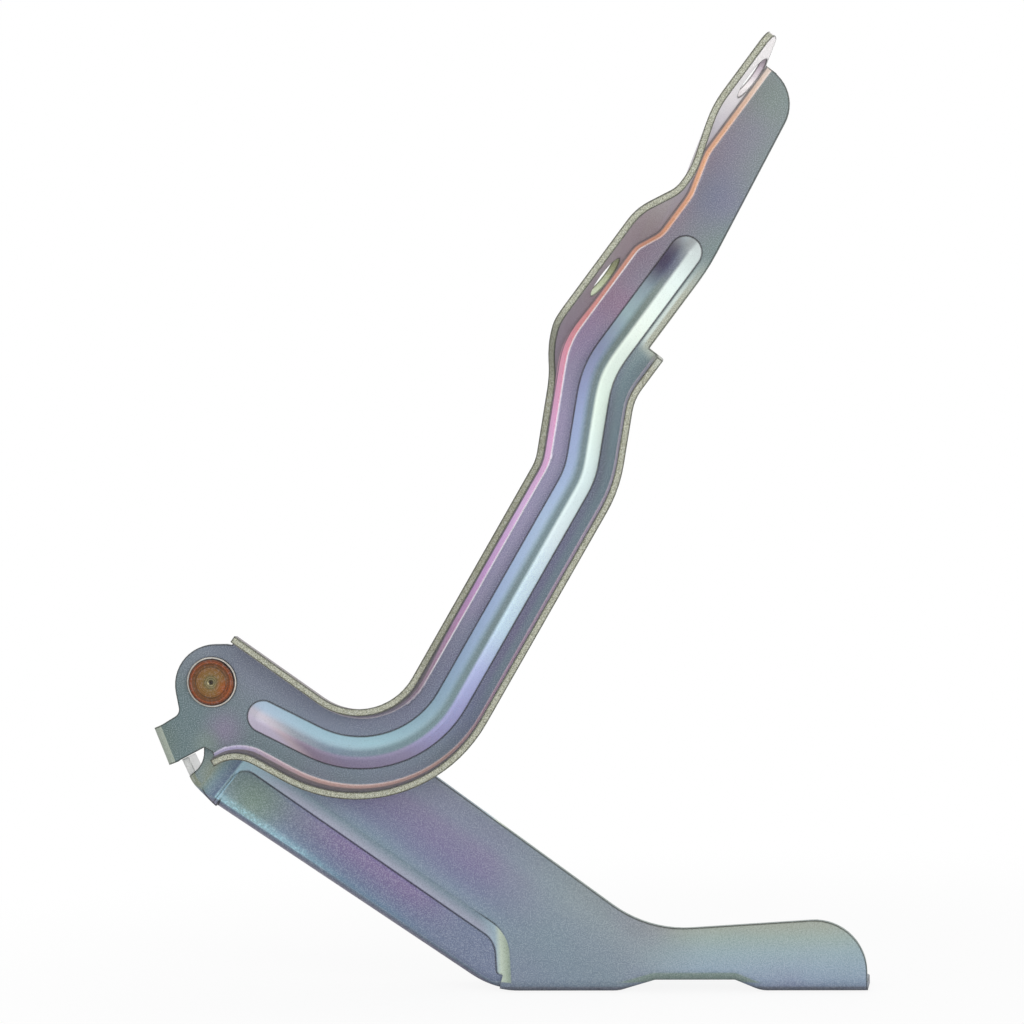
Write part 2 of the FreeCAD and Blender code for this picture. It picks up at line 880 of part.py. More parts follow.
def panel_back(body):
    """Rear side of the panel, standing behind the web inside the flange."""
    lines = root_lines(size("panel_back_inset"))
    sketches = []
    for kind, depth in (("rim", SHEET_T), ("foot", SHEET_T + size("panel_depth"))):
        toe, heel, corners = panel_corners(kind, size("panel_back_spread"))
        sketch = leaf_sketch(body, "PanelBack" + kind.title(), -depth)
        draw(sketch, corners + [
            crossing(heel, lines["land"]),
            crossing(lines["land"], lines["keel"]),
            crossing(lines["keel"], lines["toe"]),
            crossing(lines["toe"], toe),
        ])
        sketches.append(sketch)
    DOC.recompute()
    feature(body, "AdditiveLoft", "PanelBack", sketches[0], Sections=[sketches[1]], Ruled=True)
    sketches[1].Visibility = False


def panel_front(body):
    lines = root_lines(-size("panel_overrun"))
    sketches = []
    for kind, depth in (("rim", ZERO), ("foot", size("panel_depth"))):
        toe, heel, corners = panel_corners(kind, ZERO)
        sketch = leaf_sketch(body, "PanelFront" + kind.title(), -depth)
        draw(sketch, corners + [crossing(heel, lines["keel"]), crossing(lines["keel"], toe)])
        sketches.append(sketch)
    DOC.recompute()
    feature(body, "SubtractiveLoft", "PanelFront", sketches[0],
            Sections=[sketches[1]], Ruled=True)
    sketches[1].Visibility = False


def panel_bend(body):
    """Rounds the edge where the panel turns into the flange."""
    lines = root_lines(BEND + SHEET_T)
    outside = BEND + SHEET_T
    depth = size("panel_depth")
    keel_end = crossing(lines["keel"], upright(size("panel_bend_toe_x")))
    radius = size("heel_radius")
    hub = crossing(shifted(lines["land"], -radius), shifted(lines["keel"], -radius))
    first = shifted(line_through(size("panel_bend_heading"), hub), radius)
    start = point_on(first, station(first, hub) - size("root_overlap"))
    corners = [start, (*crossing(first, lines["keel"]), radius), keel_end]
    margin = size("root_overlap")
    path = leaf_sketch(body, "PanelBendPath")
    draw(path, corners, closed=False)
    profile = section_sketch(body, "PanelBendProfile", start, first[0])
    draw(profile, [
        (-margin, -depth),
        (outside, -depth, outside),
        (outside, -depth - outside - margin),
        (outside + margin, -depth - outside - margin),
        (outside + margin, margin),
        (-margin, margin),
    ])
    DOC.recompute()
    sweep(body, "SubtractivePipe", "PanelBend", profile, path)


def notch(body):
    """Frees the toe of the flange from the web, where the stop tab passes."""
    lines = root_lines(-size("cut_margin"))
    edge = notch_edge()
    side = upright(size("notch_x"))
    top = (HALF_TURN, -size("tab_heel_z"))
    sketch = leaf_sketch(body, "NotchOutline", size("root_overlap"))
    draw(sketch, [
        crossing(edge, lines["toe"]),
        (*crossing(edge, side), size("notch_knee_radius")),
        crossing(side, top),
        crossing(top, lines["toe"]),
    ])
    feature(body, "Pocket", "Notch", sketch, Length=size("toe_front") + size("root_overlap"))


def plan_sketch(body, name):
    """Sketch seen from above: x to the foot, y rearward."""
    plane = [f for f in body.Origin.OriginFeatures if f.Role == "XY_Plane"][0]
    sketch = body.newObject("Sketcher::SketchObject", name)
    sketch.AttachmentSupport = [(plane, "")]
    sketch.MapMode = "FlatFace"
    return sketch


def foot_plan(body):
    margin = size("cut_margin")
    wide = size("bracket_flange_width")
    end = size("foot_end_x")
    sketch = plan_sketch(body, "FlangePlan")
    toe = size("toe_end_x") - margin
    draw(sketch, [
        (toe, size("bracket_toe_width")),
        (size("width_taper_x"), wide, size("width_taper_radius")),
        (end, wide, size("foot_corner_radius")),
        (end, wide - margin),
        (end + margin, wide - margin),
        (end + margin, wide + margin),
        (toe, wide + margin),
    ])
    feature(body, "Pocket", "FlangeTrim", sketch, Length=size("cut_upright"),
            SideType="Symmetric")
    holes = plan_sketch(body, "FootHoles")
    for side in (-1, 1):
        x = size("bolt_spacing") * side / 2 - size("pivot_x")
        draw_circle(holes, (x, -size("bracket_front_y")), size("body_bolt_hole_diameter") / 2)
    feature(body, "Pocket", "BodyBolts", holes, Length=size("cut_upright"),
            SideType="Symmetric")


def build_bracket():
    body = new_body("body_bracket", size("bracket_front_y"))
    for step in (bracket_web, bracket_flange, panel_back, panel_front, panel_bend,
                 notch, foot_plan):
        step(body)
        DOC.recompute()
    round_cut(body, "TenonHole", size("tenon_diameter") / 2 + size("running_clearance"))
    return body


def turned(name, corners, grooves=()):
    """A turned piece on the pivot; corners are (radius, place behind the arm's face)."""
    body = new_body(name, ARM_FRONT)
    sketch = plan_sketch(body, name + "_profile")
    draw(sketch, corners)
    feature(body, "Revolution", name + "_turned", sketch, ReferenceAxis=(sketch, ["V_Axis"]))
    DOC.recompute()
    for number, groove in enumerate(grooves):
        cut = plan_sketch(body, "%s_cut%d" % (name, number))
        draw(cut, groove)
        feature(body, "Groove", "%s_groove%d" % (name, number), cut,
                ReferenceAxis=(cut, ["V_Axis"]))
        DOC.recompute()
    return body


def build_rivet():
    play = size("running_clearance")
    under_head = -size("washer_thickness") - play
    top = under_head - size("head_thickness")
    bracket_front = SHEET_T + size("leaf_gap")
    bracket_back = bracket_front + SHEET_T
    tail = bracket_back + size("tail_thickness")
    head = size("head_diameter") / 2
    ring = size("ring_radius")
    ring_out = ring + size("ring_width")
    floor = top + size("ring_depth")
    above = top - size("ring_depth")
    dimple = size("dimple_radius")
    return turned("pivot_rivet", [
        (ZERO, top),
        (head, top, size("head_round")),
        (head, under_head),
        (SHOULDER, under_head),
        (SHOULDER, bracket_front),
        (size("tenon_diameter") / 2, bracket_front),
        (size("tenon_diameter") / 2, bracket_back),
        (size("tail_diameter") / 2, bracket_back),
        (size("tail_diameter") / 2, tail, size("tail_round")),
        (ZERO, tail),
    ], grooves=[
        [(ring, above), (ring_out, above), (ring_out, floor), (ring, floor)],
        [(ZERO, above), (dimple, above), (dimple, top),
         (dimple / 2, top + size("dimple_depth")), (ZERO, top + size("dimple_depth"))],
    ])


def build_bush():
    play = size("running_clearance")
    inner = SHOULDER + play
    outer = inner + size("bush_wall")
    far = SHEET_T + size("leaf_gap") - play
    flange = size("bush_flange_diameter") / 2
    return turned("pivot_bush", [
        (inner, ZERO),
        (outer, ZERO),
        (outer, SHEET_T),
        (flange, SHEET_T),
        (flange, far),
        (inner, far),
    ])


def build_washer():
    play = size("running_clearance")
    inner = SHOULDER + play
    outer = size("washer_diameter") / 2
    front = -size("washer_thickness") - play
    return turned("support_washer", [
        (inner, front),
        (outer, front),
        (outer, -play),
        (inner, -play),
    ])


def stop_if(fault, item):
    if fault:
        raise SystemExit("%s is not sound: %s" % (item.Name, ", ".join(item.State)))


BODIES = [build_arm(), build_bracket(), build_rivet(), build_bush(), build_washer()]
DOC.recompute()

for item in DOC.Objects:
    stop_if("Invalid" in item.State or "Error" in item.State, item)
for body in BODIES:
    shape = body.Shape
    stop_if(shape.isNull() or not shape.isValid() or len(shape.Solids) != 1, body)

os.makedirs("parts", exist_ok=True)
for body in BODIES:
    print(body.Label, "%.1f mm3" % body.Shape.Volume, body.Shape.BoundBox)
    body.Shape.exportStep("parts/%s.step" % body.Label)
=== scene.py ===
import math

import bpy
from mathutils import Matrix, Vector

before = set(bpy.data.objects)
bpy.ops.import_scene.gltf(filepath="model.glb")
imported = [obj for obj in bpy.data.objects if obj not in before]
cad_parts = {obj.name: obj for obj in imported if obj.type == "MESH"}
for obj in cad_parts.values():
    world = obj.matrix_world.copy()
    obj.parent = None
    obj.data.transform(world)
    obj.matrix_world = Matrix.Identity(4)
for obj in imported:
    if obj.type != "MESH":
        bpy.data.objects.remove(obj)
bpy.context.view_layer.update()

# Viewpoint: the hinge is seen nearly square on to the arm's outer side, a little
# from the foot's side, through a long lens at about the height of the neck.
scene = bpy.context.scene
scene.view_settings.view_transform = "Standard"

PICTURE_SIDE = 1024
SENSOR_WIDTH = 36.0
LENS_IN_PIXELS = 4000.0
FARTHEST_SEEN = 20.0
VIEWPOINT = Vector((0.12478, -1.40462, 0.23895))
VIEW_RIGHT = Vector((0.99117, 0.13053, -0.02336))
VIEW_UP = Vector((0.01670, 0.05189, 0.99851))

lens = bpy.data.cameras.new("camera")
lens.sensor_width = SENSOR_WIDTH
lens.lens = SENSOR_WIDTH * LENS_IN_PIXELS / PICTURE_SIDE
lens.clip_end = FARTHEST_SEEN
camera = bpy.data.objects.new("camera", lens)
view_right = VIEW_RIGHT.normalized()
view_back = view_right.cross(VIEW_UP).normalized()
view_up = view_back.cross(view_right)
camera.matrix_world = (Matrix.Translation(VIEWPOINT)
                       @ Matrix((view_right, view_up, view_back)).transposed().to_4x4())
scene.collection.objects.link(camera)
scene.camera = camera


# Studio: a white sweep with even light all round. A broad soft lamp hangs over
# the camera's left shoulder and a tall one stands on the foot's side, so the
# slopes that turn to the right catch more light.
class Signal:
    """A socket of a finish; arithmetic on it adds Math nodes."""

    def __init__(self, finish, socket):
        self.finish = finish
        self.socket = socket

    def math(self, operation, *others):
        return self.finish.math(operation, self, *others)

    def __add__(self, other):
        return self.math("ADD", other)

    def __radd__(self, other):
        return self.finish.math("ADD", other, self)

    def __sub__(self, other):
        return self.math("SUBTRACT", other)

    def __rsub__(self, other):
        return self.finish.math("SUBTRACT", other, self)

    def __mul__(self, other):
        return self.math("MULTIPLY", other)

    def __rmul__(self, other):
        return self.finish.math("MULTIPLY", other, self)

    def __truediv__(self, other):
        return self.math("DIVIDE", other)

    def __rtruediv__(self, other):
        return self.finish.math("DIVIDE", other, self)

    def __pow__(self, other):
        return self.math("POWER", other)

    def __neg__(self):
        return self.math("MULTIPLY", -1.0)

    def __abs__(self):
        return self.math("ABSOLUTE")

    def least(self, other):
        return self.math("MINIMUM", other)

    def most(self, other):
        return self.math("MAXIMUM", other)

    def blend_least(self, other, reach):
        """The smaller of two, with a round turn from one to the other."""
        return self.math("SMOOTH_MIN", other, reach)

    def blend_most(self, other, reach):
        """The larger of two, with a round turn from one to the other."""
        return self.math("SMOOTH_MAX", other, reach)

    def past(self, edge):
        """1 beyond the edge, 0 before it."""
        return self.math("GREATER_THAN", edge)

    def rise(self, low, high):
        """Goes smoothly from 0 at low to 1 at high."""
        return self.finish.add(
            "ShaderNodeMapRange", {"interpolation_type": "SMOOTHSTEP"},
            {"Value": self, "From Min": low, "From Max": high})

    def line(self, centre, half, soft):
        """1 along a line of this half width, gone at half + soft."""
        return abs(self - centre).rise(half + soft, half)


class Finish:
    """The shader nodes of one material, or of the room's own light."""

    def __init__(self, owner):
        owner.use_nodes = True
        self.owner = owner
        self.tree = owner.node_tree

    def add(self, kind, settings=None, values=None, output=0):
        """Adds a node: its settings first, then its sockets' values or links."""
        node = self.tree.nodes.new(kind)
        for name, setting in (settings or {}).items():
            if name == "stops":
                self.set_stops(node.color_ramp.elements, setting)
            else:
                setattr(node, name, setting)
        pairs = values.items() if isinstance(values, dict) else enumerate(values or ())
        for name, value in pairs:
            self.feed(node.inputs[name], value)
        return Signal(self, node.outputs[output])

    def math(self, operation, *values):
        return self.add("ShaderNodeMath", {"operation": operation}, values)

    def set_stops(self, elements, stops):
        while len(elements) < len(stops):
            elements.new(1.0)
        for element, (place, colour) in zip(elements, stops):
            element.position = place
            element.color = colour

    def feed(self, socket, value):
        if isinstance(value, Signal):
            self.tree.links.new(value.socket, socket)
        else:
            socket.default_value = value

    def put(self, node, **values):
        """Sets or links sockets of a node that the tree came with."""
        for name, value in values.items():
            self.feed(self.tree.nodes[node].inputs[name.replace("_", " ").title()], value)


WHITE = (1.0, 1.0, 1.0, 1.0)
ROOM_LEVEL = 0.67
BACKDROP_LEVEL = 1.0
LAMP_AIM = Vector((-0.07, -0.02, 0.16))

room = Finish(bpy.data.worlds.new("studio"))
scene.world = room.owner
direct = room.add("ShaderNodeLightPath", output="Is Camera Ray")
clear = room.add("ShaderNodeLightPath", output="Is Transmission Ray")
mirrored = room.add("ShaderNodeLightPath", output="Is Glossy Ray")
soft_light, backdrop = [
    room.add("ShaderNodeBackground", values={"Color": WHITE, "Strength": level})
    for level in (ROOM_LEVEL, BACKDROP_LEVEL)]
room.put("World Output", surface=room.add(
    "ShaderNodeMixShader", values=[direct.most(clear).most(mirrored), soft_light, backdrop]))


def soft_lamp(name, place, wide, high, power):
    """A rectangular lamp that points at the middle of the hinge."""
    light = bpy.data.lights.new(name, "AREA")
    light.shape = "RECTANGLE"
    light.size = wide
    light.size_y = high
    light.energy = power
    lamp = bpy.data.objects.new(name, light)
    lamp.location = place
    toward = LAMP_AIM - Vector(place)
    lamp.rotation_euler = toward.to_track_quat("-Z", "Y").to_euler()
    scene.collection.objects.link(lamp)


soft_lamp("shoulder_lamp", place=(-0.5, -1.3, 1.1), wide=0.9, high=0.9, power=3.0)
soft_lamp("foot_side_lamp", place=(1.05, -1.2, 0.2), wide=0.5, high=1.2, power=15.0)

# Floor: matt white board, a hair under the foot. Near the hinge it keeps the
# soft shadow, and it turns into plain white farther away.
FLOOR_HALF = 4.0
FLOOR_LEVEL = -0.0005
BOARD_COLOUR = (0.9, 0.9, 0.9, 1.0)
BOARD_ROUGHNESS = 0.9
FIBRE_SCALE = 900.0
FIBRE_GLOW = 0.004
NEAR_GLOW = 0.90
SHADOW_ENDS = (0.12, 0.40)

board = bpy.data.meshes.new("floor")
board.from_pydata(
    [(x * FLOOR_HALF, y * FLOOR_HALF, FLOOR_LEVEL)
     for x, y in ((-1, -1), (1, -1), (1, 1), (-1, 1))], [], [(0, 1, 2, 3)])
floor = bpy.data.objects.new("floor", board)
scene.collection.objects.link(floor)

board_white = Finish(bpy.data.materials.new("floor_board_white"))
board_white.put("Principled BSDF", base_color=BOARD_COLOUR, roughness=BOARD_ROUGHNESS)
spot = board_white.add("ShaderNodeTexCoord", output="Object")
from_foot = board_white.add("ShaderNodeVectorMath", {"operation": "LENGTH"}, [spot], "Value")
fibres = board_white.add("ShaderNodeTexNoise", values={"Vector": spot, "Scale": FIBRE_SCALE})
glow = (from_foot.rise(*SHADOW_ENDS) * (1.0 - NEAR_GLOW) + NEAR_GLOW
        + fibres * FIBRE_GLOW).least(1.0)
seen_directly = board_white.add("ShaderNodeLightPath", output="Is Camera Ray")
lit_board = Signal(board_white, board_white.tree.nodes["Principled BSDF"].outputs[0])
plain_white = board_white.add("ShaderNodeEmission", values={"Color": WHITE})
board_white.put("Material Output", surface=board_white.add(
    "ShaderNodeMixShader", values=[seen_directly * glow, lit_board, plain_white]))
board.materials.append(board_white.owner)


# The arm: one pressing of 2.5 mm sheet steel with a stiffening bead, flanged on
# both sides. The zinc is passivated, and the film of that bath is thin and
# uneven: it shifts from teal to violet, and flares pink and gold in the bends, where the film's
# tint is laid on as painted highlight.
PIVOT = Vector((-168.0, -18.5, 111.5))  # millimetres, level with the web's face


def tint(code):
    """A colour as a screen shows it, from its six-digit code."""
    parts = [int(code[i:i + 2], 16) / 255 for i in (0, 2, 4)]
    return (*[p / 12.92 if p <= 0.04045 else ((p + 0.055) / 1.055) ** 2.4 for p in parts], 1.0)


def meeting(first, second):
    """Where two lines meet, each a heading and the pivot's distance from it."""
    (way_1, gap_1), (way_2, gap_2) = [(math.radians(way), gap) for way, gap in (first, second)]
    turn = math.sin(way_2 - way_1)
    return ((gap_1 * math.cos(way_2) - gap_2 * math.cos(way_1)) / turn,
            (gap_1 * math.sin(way_2) - gap_2 * math.sin(way_1)) / turn)


class PartFinish(Finish):
    """The finish of one part; places are in millimetres round the pivot."""

    LIGHT_GRAIN = "d3dae0"
    DARK_GRAIN = "3e4250"
    SHADED_RIM = "2e3029"
    RIM_REACH = 0.0009
    RIM_TURN = (0.9998, 0.982)
    GRAIN_HEIGHT = 0.0003
    GRAIN_STRENGTH = 0.2

    def __init__(self, name, node):
        super().__init__(bpy.data.materials.new(name))
        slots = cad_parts[node].data.materials
        slots.clear()
        slots.append(self.owner)
        metres = self.add("ShaderNodeTexCoord", output="Object")
        millimetres = self.vector("SCALE", metres, scale=1000.0)
        self.place = self.vector("SUBTRACT", millimetres, tuple(PIVOT))
        self.x, y, self.z = [self.part(self.place, axis) for axis in "XYZ"]
        self.proud = -y
        normal = self.add("ShaderNodeTexCoord", output="Normal")
        self.normal_x, normal_y = [self.part(normal, axis) for axis in "XY"]
        self.facing = -normal_y

    def vector(self, operation, *values, scale=None, output=0):
        pairs = dict(enumerate(values))
        if scale is not None:
            pairs["Scale"] = scale
        return self.add("ShaderNodeVectorMath", {"operation": operation}, pairs, output)

    def part(self, vector, axis):
        return self.add("ShaderNodeSeparateXYZ", values=[vector], output=axis)

    def along(self, heading, start=0.0):
        """Millimetres along a heading, from start."""
        way = math.radians(heading)
        ahead = (math.cos(way), 0.0, math.sin(way))
        return self.vector("DOT_PRODUCT", self.place, ahead, output="Value") - start

    def left(self, heading, offset=0.0):
        """Millimetres to the left of a line, seen from the camera's side."""
        return self.along(heading + 90.0, offset)

    def distance(self, x, z):
        across = self.x - x
        above = self.z - z
        return (across * across + above * above) ** 0.5

    def axis_distance(self, axis, x, proud, z):
        """How far a place is from a hole's axis, which runs through x, proud, z."""
        from_centre = self.vector("SUBTRACT", self.place, (x, -proud, z))
        return self.vector("LENGTH", self.vector(
            "CROSS_PRODUCT", from_centre, axis), output="Value")

    def noise(self, scale, detail=2.0, roughness=0.5):
        return self.add("ShaderNodeTexNoise", values={
            "Vector": self.place, "Scale": scale, "Detail": detail, "Roughness": roughness})

    def bands(self, value, *stops):
        """Colours of the film at given values, blended between them."""
        low, high = stops[0][0], stops[-1][0]
        span = high - low
        return self.add(
            "ShaderNodeValToRGB",
            {"stops": [((at - low) / span, tint(code)) for at, code in stops]},
            [(value - low) / span])

    def over(self, amount, under, cover):
        """Lays one colour over another."""
        return self.add("ShaderNodeMix", {"data_type": "RGBA"},
                        {"Factor": amount, 6: under, 7: cover}, 2)

    def pick(self, amount, under, cover):
        """Goes from one number to the other."""
        return (cover - under) * amount + under

    def patches(self, under, *spots):
        """Soft spots of other colours: each a place, a reach and a colour."""
        for x, z, reach, code in spots:
            under = self.over(self.distance(x, z).rise(reach, 0.0), under, tint(code))
        return under

    def clouds(self, under, scale, share, first, second):
        """Large faint clouds of two colours, as the bath leaves them."""
        cloud = self.noise(scale)
        under = self.over(cloud.rise(0.45, 0.75) * share, under, tint(first))
        return self.over(cloud.rise(0.50, 0.25) * share, under, tint(second))

    def plate(self, skin, grain, sparkle, rim_shade=0.95, metallic=0.35, roughness=0.38):
        """Puts the film's colour, its sparkle, painted dark shade along edges and creases, and
        fine bumps on.
        """
        soft_normal = self.add("ShaderNodeBevel", {"samples": 6}, {"Radius": self.RIM_REACH})
        plain_normal = self.add("ShaderNodeNewGeometry", output="Normal")
        alike = self.vector("DOT_PRODUCT", soft_normal, plain_normal, output="Value")
        rim = alike.rise(*self.RIM_TURN)
        skin = self.over(grain.rise(0.50, 0.62) * sparkle, skin, tint(self.LIGHT_GRAIN))
        skin = self.over(grain.rise(0.48, 0.36) * sparkle, skin, tint(self.DARK_GRAIN))
        # Edges and creases, where the soft normal turns away, are darkened as painted shade
        skin = self.over(rim * rim_shade, skin, tint(self.SHADED_RIM))
        normal = self.add("ShaderNodeBump", values={
            "Strength": self.GRAIN_STRENGTH, "Distance": self.GRAIN_HEIGHT,
            "Height": grain, "Normal": soft_normal})
        self.put("Principled BSDF", base_color=skin, metallic=metallic,
                 roughness=roughness, normal=normal)


# Lines of the bead's crest, each a heading and the pivot's distance from it
RUN_IN = (-27.0, -2.9)
NECK = (59.0, -77.3)
KINK = (79.5, -117.85)
RUN_OUT = (52.0, -44.2)
ELBOW_RADIUS = 38.3
KINK_BLEND = 6.2
NECK_BLEND = 2.9
BEAD_HALF = 5.7
BEAD_START = 21.85
BEAD_END = 221.9
UP_ARM_HEADING = 40.0

arm = PartFinish("arm_passivated_zinc", "bonnet_arm")

# How far a place lies to the left of the bead's crest line, round its elbow
elbow_x, elbow_z = meeting((RUN_IN[0], RUN_IN[1] + ELBOW_RADIUS),
                           (NECK[0], NECK[1] + ELBOW_RADIUS))
elbow = ELBOW_RADIUS - arm.distance(elbow_x, elbow_z)


def beyond_elbow(heading):
    """Millimetres along a heading, from the centre of the elbow."""
    way = math.radians(heading)
    return arm.along(heading, elbow_x * math.cos(way) + elbow_z * math.sin(way))


past_run_in = beyond_elbow(RUN_IN[0]).past(0.0)
before_neck = (-beyond_elbow(NECK[0])).past(0.0)
past_elbow = beyond_elbow((RUN_IN[0] + NECK[0]) / 2).past(0.0)
lower_side = arm.pick(past_run_in, arm.left(*RUN_IN), elbow)
upper_line = arm.left(*NECK).blend_least(
    arm.left(*KINK).blend_most(arm.left(*RUN_OUT), KINK_BLEND), NECK_BLEND)
upper_side = arm.pick(before_neck, upper_line, elbow)
left_of_bead = arm.pick(past_elbow, lower_side, upper_side)
short_of_bead = (-arm.along(RUN_IN[0], BEAD_START)).most(0.0)
beyond_bead = arm.along(RUN_OUT[0], BEAD_END).most(0.0)
from_bead = (left_of_bead * left_of_bead + short_of_bead * short_of_bead
             + beyond_bead * beyond_bead) ** 0.5
up_arm = arm.along(UP_ARM_HEADING)

# The web's film, left and right of the bead, from the eye up to the bonnet end
web_left = arm.bands(
    up_arm, (-14, "6f7b7b"), (0, "737d86"), (20, "7a8195"), (45, "74798f"), (62, "757990"),
    (91, "807d94"), (126, "908da6"), (160, "8e88a6"), (178, "8e80a2"), (197, "99869e"),
    (215, "8f7f94"), (240, "8d8797"), (262, "8a8997"), (290, "828c8e"))
web_right = arm.bands(
    up_arm, (-26, "5d7170"), (-14, "617375"), (0, "6a7a80"), (20, "727f8d"), (45, "707e8c"),
    (62, "6f7893"), (91, "716f8e"), (126, "6f7390"), (160, "6f8088"), (180, "7a9095"),
    (200, "8b9b97"), (225, "788a88"), (250, "7c8a8a"), (290, "7b8787"))
web = arm.over(left_of_bead.rise(-9.0, 12.0), web_right, web_left)
beside_neck = up_arm.line(130.0, 45.0, 30.0)
web = arm.over(left_of_bead.rise(-7.2, -9.8) * beside_neck * 0.75, web, tint("7c929c"))
web = arm.over(from_bead.rise(9.0, 6.0) * beside_neck * 0.5, web, tint("676680"))
web = arm.over(left_of_bead.rise(6.5, 9.8) * up_arm.line(130.0, 35.0, 30.0) * 0.5,
               web, tint("a09db8"))
web = arm.patches(
    web, (4.0, -17.0, 11.0, "807a90"), (-3.0, -22.0, 8.0, "76857f"),
    (-20.0, -22.0, 12.0, "5f7067"), (150.0, 130.0, 12.0, "927a92"),
    (182.0, 166.0, 16.0, "7b8196"), (204.0, 200.0, 14.0, "7d8a86"))
web = arm.clouds(web, 0.035, 0.22, "6f8791", "82789a")

# The bead's two slopes, painted lit (the right one nearly white as painted highlight, the left
# one pale), and its crest line, which stays dark as painted shade
slope_left = arm.bands(
    up_arm, (6, "b7c9e0"), (16, "a9cad9"), (30, "acd3de"), (50, "a7c9d8"), (70, "a8c7e2"),
    (91, "aecde8"), (126, "badaee"), (150, "b0cfec"), (168, "a6c3e8"), (183, "a1bdde"),
    (197, "b4dae0"), (208, "a8c6d2"), (217, "8292a4"), (224, "929fac"), (232, "c4d6d9"))
slope_right = arm.bands(
    up_arm, (5, "d6cde2"), (7.5, "ccbcc6"), (10.5, "9a8ca2"), (18, "948daa"), (36, "9a94b4"),
    (48, "a4a0cc"), (62, "aeaedc"), (75, "c0c8f2"), (91, "d6f2fe"), (110, "e2fafe"),
    (126, "eafcfe"), (150, "e6faf8"), (168, "e8faec"), (197, "eefaf0"), (218, "e4f2ee"),
    (230, "c4cecd"))
glitter = arm.noise(4.5, 1.0).rise(0.48, 0.60)
slope_right = arm.over(glitter * up_arm.line(84.0, 26.0, 24.0) * 0.5,
                       slope_right, tint("a4bce8"))
crest = arm.bands(
    up_arm, (4, "d2cddc"), (7, "cbc4cf"), (11, "939ba6"), (17, "76889a"), (36, "6f8991"),
    (50, "738c92"), (91, "6d8084"), (126, "72878d"), (168, "6c7f84"), (197, "6c7c77"),
    (218, "86948f"), (230, "a5adae"))
bead = arm.over(left_of_bead.rise(0.3, 3.2), crest, slope_left)
bead = arm.patches(bead, (163.8, 145.5, 12.0, "58597a"))
bead = arm.over(left_of_bead.rise(-0.5, -1.8), bead, slope_right)
on_bead = from_bead.rise(BEAD_HALF + 0.05, BEAD_HALF - 0.1)
skin = arm.over(on_bead, web, bead)
# A thin dark line of painted shade in the crease along the bead's foot
skin = arm.over(from_bead.line(BEAD_HALF, 0.12, 0.35) * 0.5, skin, tint("4d5068"))

# The flanges: a flare of the film's pink and gold in the bend, laid on as painted highlight, a
# thin white painted highlight beside it along the neck, a brown edge to the flare and a duller
# inner face, which is painted near white towards the bonnet end as highlight
flare = arm.bands(
    up_arm, (0, "8d8190"), (45, "8d8190"), (62, "b090a0"), (80, "c894ba"),
    (100, "e0ace0"), (126, "f6caf2"), (150, "f8b6de"), (166, "f6a4be"), (182, "f09894"),
    (200, "e29a82"), (225, "e8a57c"), (250, "f2b284"), (268, "f0bb94"), (290, "f6e2d4"))
flare_right = arm.bands(
    up_arm, (-8, "c6bde0"), (-2, "c0a9b6"), (6, "cba69c"), (45, "d0a99c"), (62, "be9aa0"),
    (80, "c09cb2"), (126, "c4acc4"), (180, "b0b0c2"))
flare = arm.over(left_of_bead.rise(0.5, -0.5), flare, flare_right)
wall = arm.bands(
    up_arm, (0, "6c6066"), (45, "63564f"), (62, "64585c"), (91, "6c5a70"), (126, "7c6a84"),
    (150, "77687a"), (166, "85747e"), (200, "8c7c80"), (225, "9a888c"), (250, "aaa2aa"),
    (264, "d8d2d8"), (274, "f8f2f4"), (292, "fffafa"))
left_side = left_of_bead.past(0.0)
flare_end = (up_arm.line(126.0, 40.0, 30.0) * left_side * 4.0
             + up_arm.rise(150.0, 180.0) * 1.4 + 2.0)
bend = arm.over(arm.proud.rise(flare_end, flare_end * 1.5 + 0.8), flare, tint("6e5f5c"))
bend = arm.over(arm.proud.rise(flare_end * 1.3 + 0.8, flare_end * 2.0 + 5.0), bend, wall)
on_neck = up_arm.line(140.0, 72.0, 16.0) * left_side
# A thin white line of painted highlight along the bend's edge, strongest on the neck
bend = arm.over(arm.proud.line(0.2, 0.14, 0.1) * (on_neck * 0.6 + 0.3), bend, tint("f0edf2"))
# A dark painted shadow line where the flange's inner face meets the lip
bend = arm.over(arm.proud.line(7.7, 0.3, 0.5) * arm.facing.rise(0.5, 0.2), bend, tint("3a3532"))
off_web = arm.proud.rise(0.06, 0.2) * (1.0 - on_bead)
skin = arm.over(off_web, skin, bend)

# Bare steel: the cut edge of the flanges, and of the web's border above the step
CUT_FROM, CUT_FULL = 7.4, 7.9
speck = arm.noise(3.2, 2.0, 0.6)
cut_grain = arm.bands(speck, (0.36, "6e6f5c"), (0.50, "a2a38e"), (0.62, "cdceb9"))
cut_grain = arm.over(on_neck * up_arm.rise(186.0, 172.0) * 0.5, cut_grain, tint("6c6c59"))
cut_edge = arm.proud.rise(CUT_FROM, CUT_FULL) * arm.facing.rise(0.25, 0.5)
skin = arm.over(cut_edge, skin, cut_grain)
border = up_arm.rise(191.0, 197.0) * up_arm.rise(233.0, 212.0) * arm.facing.rise(-0.5, 0.0)
# A pale painted highlight along the web's border, just inside its cut edge
skin = arm.over(left_of_bead.rise(-6.0, -6.7) * border * 0.8, skin, tint("dde9e2"))
skin = arm.over(left_of_bead.rise(-7.2, -7.9) * border * 0.85, skin, cut_grain)

